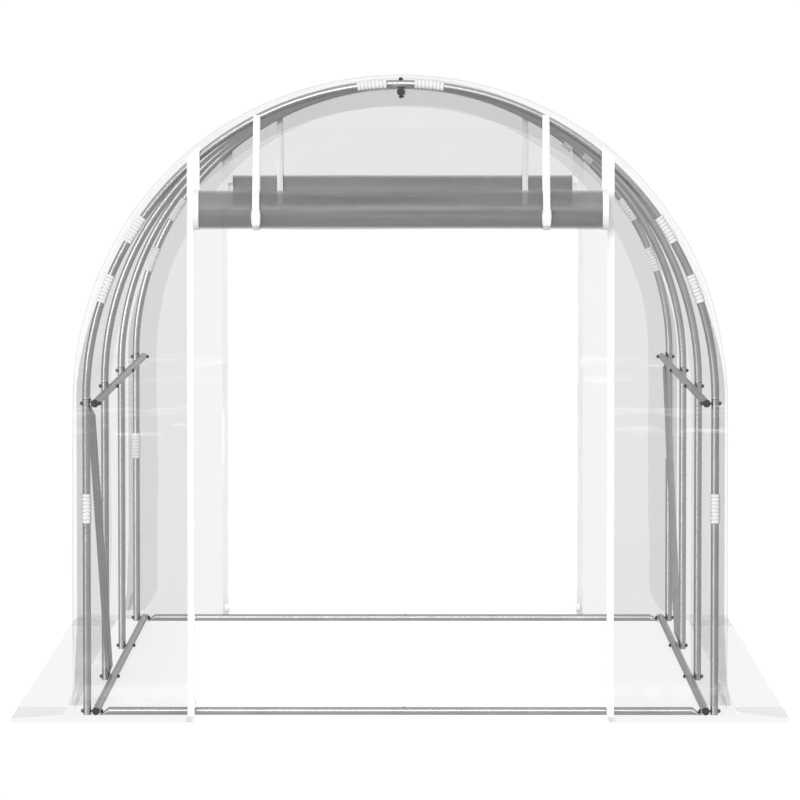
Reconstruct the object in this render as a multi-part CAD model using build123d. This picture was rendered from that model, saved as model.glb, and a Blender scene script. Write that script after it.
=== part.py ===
from build123d import *
import os
from math import acos, asin, atan2, cos, degrees, hypot, radians, sin, sqrt

# A walk-in polytunnel: four hoops of galvanised steel tube under a clear film cover with a
# roll-up door in each gable. Millimetres. X runs across, the front gable faces -Y and Z is up.
# The origin lies on the ground under the middle of the tunnel.

# Tunnel
tunnel_width = 1980.0  # between the centre lines of the two legs of a hoop
leg_height = 1000.0  # straight part of a hoop, up to where the arch begins
bay_length = 990.0  # from one hoop to the next
hoop_names = ["front", "second", "third", "rear"]

# Tubes
tube_outer = 25.0
tube_wall = 0.8
spigot_length = 45.0  # reduced end of one tube inside the next
spigot_slip = 0.2  # all round, between a spigot and the bore it enters
collar_length = 1.5  # where a tube steps down to its spigot
joint_gap = 0.2  # end to end, between two tubes pushed together
crown_joint_x = 8.0  # where the two halves of an arch meet
bar_joint_x = 0.0  # where the two halves of a ground bar meet
seat_gap = 0.1  # between pieces that are bolted together
flat_thickness = 2.4  # of a tube end pressed flat
flat_width = 36.0
flat_reach = 30.0  # from the bolt to where the flat starts to open out
flat_margin = 13.0  # from the bolt to the tip of the flat
taper_length = 27.0  # where the flat opens out to the round tube
tube_overhang = 14.0  # of purlins and rails past the end hoops
purlin_drop = 14.5  # of the purlin bolts below the top of the legs
bar_taper = 26.0  # where a ground bar flattens towards its tab

# Bolts, screws and caps
bolt_diameter = 6.0
bolt_hole_slip = 0.2  # all round
head_diameter = 13.0
head_rim = 2.5  # straight edge of the domed cap on a bolt's head and nut
head_height = 8.0
screw_diameter = 4.0
screw_head_diameter = 9.0
screw_head_height = 2.5
screw_x = 10.0  # of the screw through the lap of a ground bar
cap_flange = 2.5
cap_plug = 8.0

# Cover
film = 1.5
leg_standoff = 24.0  # of the wall film from the legs
cover_rest = 0.3  # between the ridge bolts and the film that lies on them
gable_standoff = 24.0  # of the gable film from the end hoops' centre plane
seam_gap = 0.1  # between two panels of the cover where they are joined
skirt_width = 190.0  # of the film that lies on the ground round the tunnel
door_half_width = 651.0  # to the teeth of each door zip
zip_tape = 20.0  # width of one tape
zip_thickness = 2.0
doorway_flap_gap = 4.0  # between a zip's teeth and the skirt beside the doorway

# Door roll, its straps and their buckles
roll_diameter = 122.0
roll_height = 1598.0  # of its middle above the ground
roll_end_gap = 4.0  # between the end of a roll and the teeth of the zip
strap_width = 20.0
strap_thickness = 2.0
strap_x = 455.0
strap_drop = 14.0  # of the strap's top below the roof film
strap_slip = 0.3  # between strap, roll and gable film
buckle_width = 27.0
buckle_length = 52.0
buckle_thickness = 9.0
buckle_turn = 27.0  # degrees down the roll from its foremost line

# Clips and ties on the hoops
clip_length = 94.0
clip_outer = 33.0
clip_slip = 0.3  # all round, between clip and tube
clip_mouth = 110.0  # degrees
leg_clip_height = 653.0
arch_clip_angles = [20.5, 32.5]  # degrees up each side of the arch
crown_clip_x = 90.0
tie_width = 40.0  # along the tube
tie_bore = 35.0
tie_thickness = 1.0
tie_places = [(2, 48.3), (3, 51.4)]  # hoop and degrees up the right side

# Worked out from the sizes above
tube_radius = tube_outer / 2
bore_radius = tube_radius - tube_wall
spigot_radius = bore_radius - spigot_slip
arch_radius = tunnel_width / 2
hoop_count = len(hoop_names)
hoop_ys = [(i - (hoop_count - 1) / 2) * bay_length for i in range(hoop_count)]
end_y = hoop_ys[-1]
rail_x = arch_radius - tube_outer - flat_thickness - 2 * seat_gap
rail_z = tube_radius
purlin_z = leg_height - purlin_drop
ridge_z = leg_height + arch_radius - tube_outer - seat_gap
crown_top = leg_height + arch_radius + tube_radius
hole_radius = bolt_diameter / 2 + bolt_hole_slip
wall_x = arch_radius + tube_radius + leg_standoff
crown_z = crown_top + head_height + cover_rest
gable_y = end_y + gable_standoff
gable_face = gable_y + film
flap_x = wall_x + skirt_width
flap_y = gable_y + skirt_width
roll_out = gable_face + 2 * strap_slip + strap_thickness + roll_diameter / 2
parts = {}


def annulus(outer, inner):
    """A ring-shaped face in the XY plane."""
    return Circle(outer) - Circle(inner)


def straight_tube(start, end, outer=tube_radius, inner=bore_radius):
    """A tube from one point to another."""
    run = Vector(*end) - Vector(*start)
    return extrude(Plane(origin=start, z_dir=run) * annulus(outer, inner), amount=run.length)


def arc_solid(section, y, first, last):
    """A face drawn about the tube's centre, carried round the arch of the hoop at y.

    Angles are in degrees, from the right leg over the crown to the left leg.
    """
    axis = Axis((0, y, leg_height), (0, -1, 0))
    placed = Pos(arch_radius, y, leg_height) * section
    return revolve(placed, axis, last - first).rotate(axis, first)


def arc_of(length):
    """The angle that a length takes up along the centre line of the arch."""
    return degrees(length / arch_radius)


def hole(centre, direction, radius=hole_radius):
    """A cylinder that drills a tube right through."""
    plane = Plane(origin=centre, z_dir=direction)
    return extrude(plane * Circle(radius), amount=tube_outer, both=True)


def both_sides(shape):
    """A shape and its mirror image on the other side of the tunnel."""
    return [shape, mirror(shape, Plane.YZ)]


def both_ends(shape):
    """A shape and its mirror image at the other gable."""
    return [shape, mirror(shape, Plane.XZ)]


def save(name, shapes):
    """Keep the solids of a node."""
    parts[name] = shapes if isinstance(shapes, list) else [shapes]


# ---- Hoops: two legs and an arch in two halves, pushed together ----
# Each half arch steps down to a spigot that enters its leg. The right half has a second spigot
# that enters the left half past the crown, and the ridge bolt passes through that lap.
leg = straight_tube((arch_radius, 0, 0), (arch_radius, 0, leg_height))
for height in (rail_z, purlin_z):
    leg -= hole((arch_radius, 0, height), (1, 0, 0))

crown_joint = degrees(acos(crown_joint_x / arch_radius))
spigot_bore = spigot_radius - tube_wall
foot_spigot = straight_tube(
    (arch_radius, 0, leg_height - spigot_length),
    (arch_radius, 0, leg_height),
    spigot_radius,
    spigot_bore,
)
foot_collar = arc_solid(annulus(tube_radius, spigot_bore), 0, 0, arc_of(collar_length))
foot_end = foot_spigot + foot_collar - hole((arch_radius, 0, purlin_z), (1, 0, 0))
crown_hole = hole((0, 0, leg_height + arch_radius), (0, 0, 1))
tube_ring = annulus(tube_radius, bore_radius)

right_last = crown_joint - arc_of(joint_gap)
right_arch = arc_solid(tube_ring, 0, 0, right_last) + foot_end
right_arch += arc_solid(
    annulus(tube_radius, spigot_bore), 0, right_last - arc_of(collar_length), right_last
)
right_arch += arc_solid(
    annulus(spigot_radius, spigot_bore), 0, right_last, crown_joint + arc_of(spigot_length)
)
right_arch -= crown_hole
left_arch = arc_solid(tube_ring, 0, crown_joint, 180) + mirror(foot_end, Plane.YZ)
left_arch -= crown_hole

for name, y in zip(hoop_names, hoop_ys):
    save(name + "_hoop_legs", [Pos(0, y, 0) * half for half in both_sides(leg)])
    save(name + "_hoop_arch", [Pos(0, y, 0) * left_arch, Pos(0, y, 0) * right_arch])


# ---- Purlins and ground rails: tubes that run the length of the tunnel inside the hoops ----
def long_tube(x, z, bolt_direction):
    """A tube along the tunnel, drilled at each hoop."""
    reach = end_y + tube_overhang
    tube = straight_tube((x, -reach, z), (x, reach, z))
    for y in hoop_ys:
        tube -= hole((x, y, z), bolt_direction)
    return tube


side_purlins = both_sides(long_tube(rail_x, purlin_z, (1, 0, 0)))
ground_rails = both_sides(long_tube(rail_x, rail_z, (1, 0, 0)))
save("right_purlin", side_purlins[0])
save("left_purlin", side_purlins[1])
save("ridge_purlin", long_tube(0, ridge_z, (0, 0, 1)))
save("right_ground_rail", ground_rails[0])
save("left_ground_rail", ground_rails[1])


# ---- Black end caps, pushed into the ends of the purlins and rails ----
def end_cap(x, z):
    """A plug with a flange that covers the end of the tube, at the rear gable."""
    y = end_y + tube_overhang
    outward = Plane(origin=(x, y, z), z_dir=(0, 1, 0))
    inward = Plane(origin=(x, y, z), z_dir=(0, -1, 0))
    flange = extrude(outward * Circle(tube_radius), amount=cap_flange)
    flange = fillet(flange.edges().group_by(Axis.Y)[-1], cap_flange * 0.6)
    plug = extrude(inward * Circle(bore_radius - spigot_slip), amount=cap_plug)
    return flange + plug


caps = [end_cap(0, ridge_z)]
for x in (-rail_x, rail_x):
    caps += [end_cap(x, purlin_z), end_cap(x, rail_z)]
save("tube_end_caps", [half for cap in caps for half in both_ends(cap)])


# ---- Braces: tubes with flat ends that run from a purlin bolt down to the next hoop's foot ----
def brace(x, top_y, foot_y):
    """A round tube pressed flat at both ends, where it lies between leg and purlin or rail."""
    top = Vector(x, top_y, purlin_z)
    run = Vector(x, foot_y, rail_z) - top
    length = run.length
    flats = []
    for along in (0, length):
        inward = 1 if along == 0 else -1
        blade = Box(flat_margin + flat_reach, flat_width, flat_thickness)
        blade = fillet(blade.edges().filter_by(Axis.Z), flat_margin * 0.8)
        blade = Pos(along + inward * (flat_reach - flat_margin) / 2, 0, 0) * blade
        opening_out = loft(
            [
                Plane(origin=(along + inward * (flat_reach - 1), 0, 0), z_dir=(1, 0, 0))
                * Ellipse(flat_thickness / 2, flat_width / 2),
                Plane(origin=(along + inward * (flat_reach + taper_length), 0, 0), z_dir=(1, 0, 0))
                * Circle(tube_radius),
            ]
        )
        drill = Pos(along, 0, 0) * Cylinder(hole_radius, tube_outer)
        flats.append(blade + opening_out - drill)
    end = flat_reach + taper_length
    middle = straight_tube((end, 0, 0), (length - end, 0, 0))
    whole = flats[0] + middle + flats[1]
    placed = Plane(origin=top, x_dir=run, z_dir=(1, 0, 0)) * whole
    ground = Pos(x, 0, -tube_outer) * Box(tube_outer * 2, 4 * end_y, 2 * tube_outer + 2 * seat_gap)
    return placed - ground


brace_x = rail_x + tube_radius + seat_gap + flat_thickness / 2
save("left_brace", brace(-brace_x, hoop_ys[0], hoop_ys[1]))
save("right_brace", brace(brace_x, hoop_ys[3], hoop_ys[2]))


# ---- Ground bars: across the tunnel under each end hoop, in two halves screwed together ----
tab_outer = rail_x - tube_radius - seat_gap
tab_inner = tab_outer - flat_thickness


def half_bar(inner_x):
    """The right half of a ground bar: a tube that flattens to a foot with a turned-up tab."""
    round_end = tab_inner - bar_taper
    tube = straight_tube((inner_x, 0, rail_z), (round_end, 0, rail_z))
    flat_z = seat_gap + flat_thickness / 2
    flattening = loft(
        [
            Plane(origin=(round_end, 0, rail_z), z_dir=(1, 0, 0)) * Circle(tube_radius),
            Plane(origin=(tab_inner + seat_gap, 0, flat_z), z_dir=(1, 0, 0))
            * Ellipse(flat_width / 2, flat_thickness / 2)
            .rotate(Axis.Z, 90),
        ]
    )
    tab = Pos((tab_inner + tab_outer) / 2, 0, tube_radius) * Box(
        flat_thickness, flat_width, tube_outer - 2 * seat_gap
    )
    tab -= hole((tab_outer, 0, rail_z), (1, 0, 0))
    return tube + flattening + tab


right_bar = half_bar(bar_joint_x + joint_gap / 2)
left_bar = mirror(half_bar(-bar_joint_x + joint_gap / 2), Plane.YZ)
lap = straight_tube(
    (bar_joint_x - collar_length, 0, rail_z),
    (bar_joint_x + spigot_length, 0, rail_z),
    spigot_radius,
    spigot_bore,
)
collar = straight_tube(
    (bar_joint_x - joint_gap / 2 - collar_length, 0, rail_z),
    (bar_joint_x - joint_gap / 2, 0, rail_z),
    tube_radius,
    spigot_bore,
)
screw_hole = hole((screw_x, 0, rail_z), (0, 0, 1), screw_diameter / 2 + bolt_hole_slip)
right_bar -= screw_hole
left_bar = left_bar + lap + collar - screw_hole
for name, y in (("front", -end_y), ("rear", end_y)):
    save(name + "_ground_bar", [Pos(0, y, 0) * left_bar, Pos(0, y, 0) * right_bar])


# ---- Bolts with a black domed cap on the head and on the nut ----
def cap_bolt(start, end):
    """A bolt turned about its axis: domed cap, shank through the joint, domed cap."""
    run = Vector(*end) - Vector(*start)
    radius = head_diameter / 2
    shank_radius = bolt_diameter / 2
    dome_rise = head_height - head_rim
    dome_radius = (radius**2 + dome_rise**2) / (2 * dome_rise)
    half_turn = asin(radius / dome_radius) / 2
    mid_x = dome_radius * sin(half_turn)
    mid_height = head_height - dome_radius * (1 - cos(half_turn))
    tail = -run.length
    outline = Line((0, tail - head_height), (0, head_height))
    outline += ThreePointArc((0, head_height), (mid_x, mid_height), (radius, head_rim))
    outline += Polyline(
        (radius, head_rim),
        (radius, 0),
        (shank_radius, 0),
        (shank_radius, tail),
        (radius, tail),
        (radius, tail - head_rim),
    )
    outline += ThreePointArc(
        (radius, tail - head_rim),
        (mid_x, tail - mid_height),
        (0, tail - head_height),
    )
    bolt = revolve(Plane.XZ * make_face(outline), Axis.Z)
    return Plane(origin=start, z_dir=-run) * bolt


leg_face = arch_radius + tube_radius
purlin_face = rail_x - tube_radius
side_bolts = []
for y in hoop_ys:
    at_end = abs(y) == end_y
    side_bolts.append(cap_bolt((leg_face, y, purlin_z), (purlin_face, y, purlin_z)))
    side_bolts.append(
        cap_bolt((leg_face, y, rail_z), (tab_inner if at_end else purlin_face, y, rail_z))
    )
save("right_frame_bolts", side_bolts)
save("left_frame_bolts", [mirror(bolt, Plane.YZ) for bolt in side_bolts])
ridge_low = ridge_z - tube_radius
save("ridge_bolts", [cap_bolt((0, y, crown_top), (0, y, ridge_low)) for y in hoop_ys])


def lap_screw(y):
    """A pan-head screw down through the lap of a ground bar."""
    shank = Pos(screw_x, y, tube_outer - tube_radius / 2) * Cylinder(
        screw_diameter / 2, tube_radius
    )
    head = Pos(screw_x, y, tube_outer + screw_head_height / 2) * Cylinder(
        screw_head_diameter / 2, screw_head_height
    )
    head = fillet(head.edges().group_by(Axis.Z)[-1], screw_head_height * 0.6)
    return shank + head


save("ground_bar_screws", [lap_screw(-end_y), lap_screw(end_y)])


# ---- White clips that grip the end hoops, open towards the inside of the tunnel ----
clip_ring = annulus(clip_outer / 2, tube_radius + clip_slip)
mouth_rise = clip_outer * sin(radians(clip_mouth / 2))
mouth_run = clip_outer * cos(radians(clip_mouth / 2))
mouth = make_face(
    Polyline((0, 0), (-mouth_run, mouth_rise), (-mouth_run, -mouth_rise), (0, 0))
)
clip_section = clip_ring - mouth
clip_arc = arc_of(clip_length)
crown_clip_angle = 90 - degrees(asin(crown_clip_x / arch_radius))
leg_clip = extrude(
    Pos(arch_radius, 0, leg_clip_height - clip_length / 2) * clip_section, amount=clip_length
)
half_clips = [leg_clip]
for angle in arch_clip_angles + [crown_clip_angle]:
    half_clips.append(arc_solid(clip_section, 0, angle - clip_arc / 2, angle + clip_arc / 2))
clips = [side for clip in half_clips for side in both_sides(clip)]
save("front_cover_clips", [Pos(0, -end_y, 0) * clip for clip in clips])
save("rear_cover_clips", [Pos(0, end_y, 0) * clip for clip in clips])

# ---- Film ties: loose loops that hold the roof film to the third and rear hoops ----
tie_drop = tie_bore / 2 - tube_radius - seat_gap
tie_section = Pos(-tie_drop, 0) * annulus(tie_bore / 2 + tie_thickness, tie_bore / 2)
half_tie = arc_of(tie_width) / 2
save(
    "film_ties",
    [
        arc_solid(tie_section, hoop_ys[i], angle - half_tie, angle + half_tie)
        for i, angle in tie_places
    ],
)

# ---- Cover: wall film, roof film and gable film ----
crown_rise = crown_z - leg_height


def roof_height(x, inset=0.0):
    """How high the inner face of the roof film, less an inset, is above the ground at x."""
    return leg_height + (crown_rise - inset) * sqrt(1 - (x / (wall_x - inset)) ** 2)


def upper_half(across, rise):
    """The half of an ellipse above the top of the legs, drawn in the XZ plane."""
    whole = Ellipse(across, rise)
    kept = Pos(0, rise) * Rectangle(2 * across + 2, 2 * rise)
    return Plane(origin=(0, 0, leg_height), x_dir=(1, 0, 0), z_dir=(0, -1, 0)) * (whole & kept)


wall = Pos(wall_x + film / 2, 0, (leg_height + film) / 2) * Box(
    film, 2 * gable_face, leg_height - film
)
walls = both_sides(wall)
save("right_wall_film", walls[0])
save("left_wall_film", walls[1])

roof_section = upper_half(wall_x + film, crown_rise + film) - upper_half(wall_x, crown_rise)
save("roof_film", extrude(roof_section, amount=gable_face, both=True))

gable_outline = upper_half(wall_x - seam_gap, crown_rise - seam_gap)
gable_outline += Plane(origin=(0, 0, 0), x_dir=(1, 0, 0), z_dir=(0, -1, 0)) * (
    Pos(0, (leg_height + film) / 2) * Rectangle(2 * (wall_x - seam_gap), leg_height - film)
)
gable = Pos(0, -gable_y, 0) * extrude(gable_outline, amount=film)
reach = 2 * flap_x
beside = Pos(door_half_width + seam_gap / 2 + reach / 2, 0, leg_height) * Box(
    reach, 4 * flap_y, 4 * leg_height
)
over = Pos(0, 0, roll_height + leg_height) * Box(
    2 * door_half_width - seam_gap, 4 * flap_y, 2 * leg_height
)
gable_side = gable & beside
door_top = gable & over
for name, piece in zip(("front", "rear"), both_ends(gable_side)):
    sides = both_sides(piece)
    save(name + "_right_gable_film", sides[0])
    save(name + "_left_gable_film", sides[1])
for name, piece in zip(("front", "rear"), both_ends(door_top)):
    save(name + "_upper_door_film", piece)

# ---- Skirt: film that lies on the ground, to be weighed down ----
side_skirt = Pos(wall_x + skirt_width / 2, 0, film / 2) * Box(skirt_width, 2 * flap_y, film)
side_skirts = both_sides(side_skirt)
save("right_skirt", side_skirts[0])
save("left_skirt", side_skirts[1])
skirt_start = door_half_width + doorway_flap_gap
skirt_end = wall_x - seam_gap
gable_skirt = Pos((skirt_start + skirt_end) / 2, -(gable_y + flap_y) / 2, film / 2) * Box(
    skirt_end - skirt_start, skirt_width, film
)
for name, piece in zip(("front", "rear"), both_ends(gable_skirt)):
    save(name + "_skirt", both_sides(piece))

# ---- Door zips: white tapes on the gable film, from the skirt to the roof ----
zip_foot = film + seam_gap
roll_top = roll_height + roll_diameter / 2
wall_tape = Pos(door_half_width + zip_tape / 2, 0, leg_height + zip_foot) * Box(
    zip_tape, 4 * flap_y, 2 * leg_height
)
door_tape = Pos(door_half_width - zip_tape / 2, 0, leg_height + roll_top) * Box(
    zip_tape + seam_gap, 4 * flap_y, 2 * leg_height
)
zip_plate = Pos(0, -gable_face - seam_gap, 0) * extrude(gable_outline, amount=zip_thickness)
door_zip = (zip_plate & wall_tape) + (zip_plate & door_tape)
for name, piece in zip(("front", "rear"), both_ends(door_zip)):
    save(name + "_door_zips", both_sides(piece))

# ---- Door rolls: each door rolled up outside its gable ----
roll_length = 2 * (door_half_width - roll_end_gap)
roll = Pos(0, -roll_out, roll_height) * Rot(0, 90, 0) * Cylinder(roll_diameter / 2, roll_length)
for name, piece in zip(("front", "rear"), both_ends(roll)):
    save(name + "_door_roll", piece)

# ---- Roll straps: loops of webbing sewn in under the roof, with a buckle at the front ----
strap_top = roof_height(strap_x) - strap_drop
top_radius = strap_thickness + strap_slip
top_centre = (gable_face + strap_slip + top_radius, strap_top - top_radius)
roll_centre = (roll_out, roll_height)


def loop_outline(around_roll, at_top):
    """The outline of a belt round the roll and round the small fold at its top."""
    span = hypot(roll_centre[0] - top_centre[0], roll_centre[1] - top_centre[1])
    lean = degrees(atan2(top_centre[1] - roll_centre[1], top_centre[0] - roll_centre[0]))
    spread = degrees(acos((around_roll - at_top) / span))
    points = {}
    for side in (-1, 1):
        angle = radians(lean + side * spread)
        for tag, centre, radius in (
            ("roll", roll_centre, around_roll),
            ("top", top_centre, at_top),
        ):
            points[tag, side] = (
                centre[0] + radius * cos(angle),
                centre[1] + radius * sin(angle),
            )
    low = (
        roll_centre[0] - around_roll * cos(radians(lean)),
        roll_centre[1] - around_roll * sin(radians(lean)),
    )
    high = (
        top_centre[0] + at_top * cos(radians(lean)),
        top_centre[1] + at_top * sin(radians(lean)),
    )
    outline = ThreePointArc(points["roll", -1], low, points["roll", 1])
    outline += Line(points["roll", 1], points["top", 1])
    outline += ThreePointArc(points["top", 1], high, points["top", -1])
    outline += Line(points["top", -1], points["roll", -1])
    return make_face(outline)


inner_belt = roll_diameter / 2 + strap_slip
belt = loop_outline(inner_belt + strap_thickness, top_radius)
belt -= loop_outline(inner_belt, strap_slip)
belt_plane = Plane(origin=(strap_x - strap_width / 2, 0, 0), x_dir=(0, -1, 0), z_dir=(-1, 0, 0))
strap = extrude(belt_plane * belt, amount=-strap_width)
buckle_radius = inner_belt + strap_thickness + seat_gap + buckle_thickness / 2
buckle = Box(buckle_width, buckle_thickness, buckle_length)
buckle = fillet(buckle.edges().filter_by(Axis.Y), buckle_width * 0.2)
buckle = Rot(buckle_turn, 0, 0) * Pos(0, -buckle_radius, 0) * buckle
buckle = Pos(strap_x, -roll_out, roll_height) * buckle
for name, strap_piece, buckle_piece in zip(
    ("front", "rear"), both_ends(strap), both_ends(buckle)
):
    save(name + "_roll_straps", both_sides(strap_piece))
    save(name + "_strap_buckles", both_sides(buckle_piece))

os.makedirs("parts", exist_ok=True)
for name, shapes in parts.items():
    solids = [solid for shape in shapes for solid in shape.solids()]
    whole = solids[0] if len(solids) == 1 else Compound(children=solids)
    export_step(whole, "parts/" + name + ".step")
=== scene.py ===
from math import acos, asin, atan2, cos, degrees, hypot, pi, radians, sin, sqrt

import bmesh
import bpy
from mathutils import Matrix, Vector, noise


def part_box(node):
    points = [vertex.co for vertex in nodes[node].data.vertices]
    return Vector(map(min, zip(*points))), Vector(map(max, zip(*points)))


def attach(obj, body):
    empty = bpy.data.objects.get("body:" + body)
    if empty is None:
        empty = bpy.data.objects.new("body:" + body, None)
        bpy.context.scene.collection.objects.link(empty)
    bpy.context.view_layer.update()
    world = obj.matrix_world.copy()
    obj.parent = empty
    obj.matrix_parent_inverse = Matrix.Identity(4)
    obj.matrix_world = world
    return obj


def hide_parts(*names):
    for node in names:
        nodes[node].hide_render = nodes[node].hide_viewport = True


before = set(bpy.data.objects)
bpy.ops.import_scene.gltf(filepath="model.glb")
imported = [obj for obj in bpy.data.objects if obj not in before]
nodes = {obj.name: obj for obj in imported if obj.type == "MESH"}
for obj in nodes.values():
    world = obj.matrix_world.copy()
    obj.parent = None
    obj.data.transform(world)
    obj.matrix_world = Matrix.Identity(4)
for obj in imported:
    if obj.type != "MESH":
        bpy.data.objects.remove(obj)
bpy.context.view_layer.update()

# ---- Galvanised tubes: hoops, purlins, ground rails, ground bars and braces ----
# Thin-walled steel tube, welded from strip that was hot-dip galvanised, then drilled, bent and
# swaged. The zinc has set in small crystals and gone dull grey, so the tube is soft-shiny
# with a faint mottle, darker along the edges where it turns away.


def linear(code):
    """An sRGB hex colour as the linear colour that nodes take."""
    parts = [int(code[i : i + 2], 16) / 255 for i in (1, 3, 5)]
    return [c / 12.92 if c < 0.04045 else ((c + 0.055) / 1.055) ** 2.4 for c in parts] + [1.0]


def add(tree, kind, sockets=None, **settings):
    """Add a node. Its sockets take a value, an output, or a node for that node's first output."""
    made = tree.nodes.new("ShaderNode" + kind)
    for name, value in settings.items():
        setattr(made, name, value)
    for name, value in (sockets or {}).items():
        if isinstance(value, bpy.types.Node):
            value = value.outputs[0]
        if isinstance(value, bpy.types.NodeSocket):
            tree.links.new(value, made.inputs[name])
        else:
            made.inputs[name].default_value = value
    return made


def new_material(name):
    """An empty node material, and the object's own coordinates in metres to draw in."""
    made = bpy.data.materials.new(name)
    made.use_nodes = True
    made.node_tree.nodes.clear()
    place = add(made.node_tree, "TexCoord").outputs["Object"]
    return made, made.node_tree, place


def finish_material(tree, kind, sockets):
    """Add the surface's shader, and join it to the material's output."""
    add(tree, "OutputMaterial", {"Surface": add(tree, kind, sockets)})


def set_stops(ramp, *stops):
    """Give a colour ramp its stops: a place from 0 to 1, and a colour."""
    elements = ramp.color_ramp.elements
    for i, (at, code) in enumerate(stops):
        stop = elements[i] if i < 2 else elements.new(at)
        stop.position, stop.color = at, linear(code)


galvanised_steel, tree, place = new_material("galvanised_steel_tube")
# crystals of about 5 mm, and cloudy patches a hand wide where the zinc ran thicker
spangle = add(tree, "TexVoronoi", {"Vector": place, "Scale": 1000 / 5})
cloud = add(tree, "TexNoise", {"Vector": place, "Scale": 1000 / 90, "Detail": 4.0})
grain = add(tree, "TexNoise", {"Vector": place, "Scale": 1000 / 3, "Detail": 3.0})
mottle = add(
    tree, "Mix", {"Factor": 0.35, "A": cloud, "B": spangle.outputs["Color"]}, data_type="FLOAT",
)
zinc_tone = add(tree, "ValToRGB", {"Fac": mottle})
set_stops(zinc_tone, (0.25, "#B0B0B0"), (0.8, "#C4C4C4"))
# where an arch is pushed on to its leg: a painted highlight along the cut edge, over a thin line of
# painted shade
leg_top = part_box("front_hoop_legs")[1].z
tube_place = add(tree, "SeparateXYZ", {"Vector": place})
joint_height = add(tree, "MapRange", {
    "Value": tube_place.outputs["Z"], "From Min": leg_top - 0.005, "From Max": leg_top + 0.005,
})
joint_highlight_and_shade = add(tree, "ValToRGB", {"Fac": joint_height})
set_stops(
    joint_highlight_and_shade, (0.25, "#DDDDDD"), (0.95, "#DDDDDD"), (0.3, "#858585"), (0.5, "#858585"),
    (0.55, "#FFFFFF"), (0.9, "#FFFFFF"),
)
tube_tone = add(
    tree, "Mix", {"Factor": 1.0, 6: zinc_tone, 7: joint_highlight_and_shade}, data_type="RGBA",
    blend_type="MULTIPLY",
)
zinc_dull = add(tree, "MapRange", {"Value": grain, "To Min": 0.28, "To Max": 0.38})
zinc_skin = add(tree, "Bump", {"Height": grain, "Strength": 0.12, "Distance": 0.0004})
finish_material(tree, "BsdfPrincipled", {
    "Base Color": tube_tone.outputs[2], "Metallic": 1.0, "Roughness": zinc_dull,
    "Specular Tint": linear("#C8C8C8"), "Normal": zinc_skin,
})

tube_nodes = ["left_purlin", "right_purlin", "ridge_purlin", "left_brace", "right_brace"]
tube_nodes += ["left_ground_rail", "right_ground_rail", "front_ground_bar", "rear_ground_bar"]
for hoop in ("front", "second", "third", "rear"):
    tube_nodes += [hoop + "_hoop_legs", hoop + "_hoop_arch"]
for name in tube_nodes:
    nodes[name].data.materials[0] = galvanised_steel

# ---- Screws through the laps of the ground bars ----
# Pan-head self-tapping screws with bright zinc plate, driven down through both tubes. They are
# smoother and a little lighter than the tube round them.
zinc_plate, tree, place = new_material("zinc_plated_screw")
plate_cloud = add(tree, "TexNoise", {"Vector": place, "Scale": 1000 / 2, "Detail": 2.0})
plate_tone = add(tree, "ValToRGB", {"Fac": plate_cloud})
set_stops(plate_tone, (0, "#BABABA"), (1, "#DADADA"))
finish_material(tree, "BsdfPrincipled", {
    "Base Color": plate_tone, "Metallic": 1.0, "Roughness": 0.24,
})
nodes["ground_bar_screws"].data.materials[0] = zinc_plate

# ---- Bolts and tube ends: black caps ----
# Injection-moulded black polypropylene. Domed caps press over each bolt head and nut, and
# round plugs close the open ends of the purlins and rails. The moulding is finely eroded, so
# it takes only a soft grey sheen.


def moulded(name, speck, tones, strength, depth, skin):
    """A plastic in two tones, with specks that many millimetres across raised on its skin."""
    made, tree, place = new_material(name)
    specks = add(tree, "TexNoise", {"Vector": place, "Scale": 1000 / speck, "Detail": 3.0})
    tone = add(tree, "ValToRGB", {"Fac": specks})
    set_stops(tone, (0, tones[0]), (1, tones[1]))
    relief = add(tree, "Bump", {"Height": specks, "Strength": strength, "Distance": depth})
    skin = {"Base Color": tone, "Normal": relief, **skin}
    finish_material(tree, "BsdfPrincipled", skin)
    return made


black_plastic = moulded("black_moulded_polypropylene", 1.5, ("#0D0D0D", "#1C1C1C"), 0.3, 0.0003, {
    "Roughness": 0.42, "IOR": 1.49,
})
for name in ("ridge_bolts", "tube_end_caps"):
    nodes[name].data.materials[0] = black_plastic

# ---- Bolts through the legs ----
# Zinc-plated bolts driven in from the outside, so the bare plated head shows outside each leg,
# and a black cap hides the nut on the inner side of the rail.
capped_bolt, tree, place = new_material("zinc_plated_bolt_with_black_cap")
leg_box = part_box("front_hoop_legs")
leg_middle = leg_box[1].x - (leg_box[1].y - leg_box[0].y) / 2
sides = add(tree, "SeparateXYZ", {"Vector": place})
off_centre = add(tree, "Math", {0: sides.outputs["X"]}, operation="ABSOLUTE")
outside = add(tree, "Math", {0: off_centre, 1: leg_middle}, operation="GREATER_THAN")
bolt_grain = add(tree, "TexNoise", {"Vector": place, "Scale": 1000 / 1.5, "Detail": 3.0})
cap_tone = add(tree, "ValToRGB", {"Fac": bolt_grain})
set_stops(cap_tone, (0, "#0D0D0D"), (1, "#1C1C1C"))
head_tone = add(tree, "ValToRGB", {"Fac": bolt_grain})
set_stops(head_tone, (0, "#4C4C4C"), (1, "#6A6A6A"))
bolt_tone = add(tree, "Mix", {0: outside, 6: cap_tone, 7: head_tone}, data_type="RGBA")
finish_material(tree, "BsdfPrincipled", {
    "Base Color": bolt_tone.outputs[2], "Metallic": outside, "Roughness": 0.38,
})
for name in ("left_frame_bolts", "right_frame_bolts"):
    nodes[name].data.materials[0] = capped_bolt

# ---- Cover clips on the two end hoops ----
# Injection-moulded white polypropylene, a C in section that snaps over the 25 mm tube with its
# mouth towards the inside. Each is 94 mm long with eight raised ribs across its back for grip.


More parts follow.
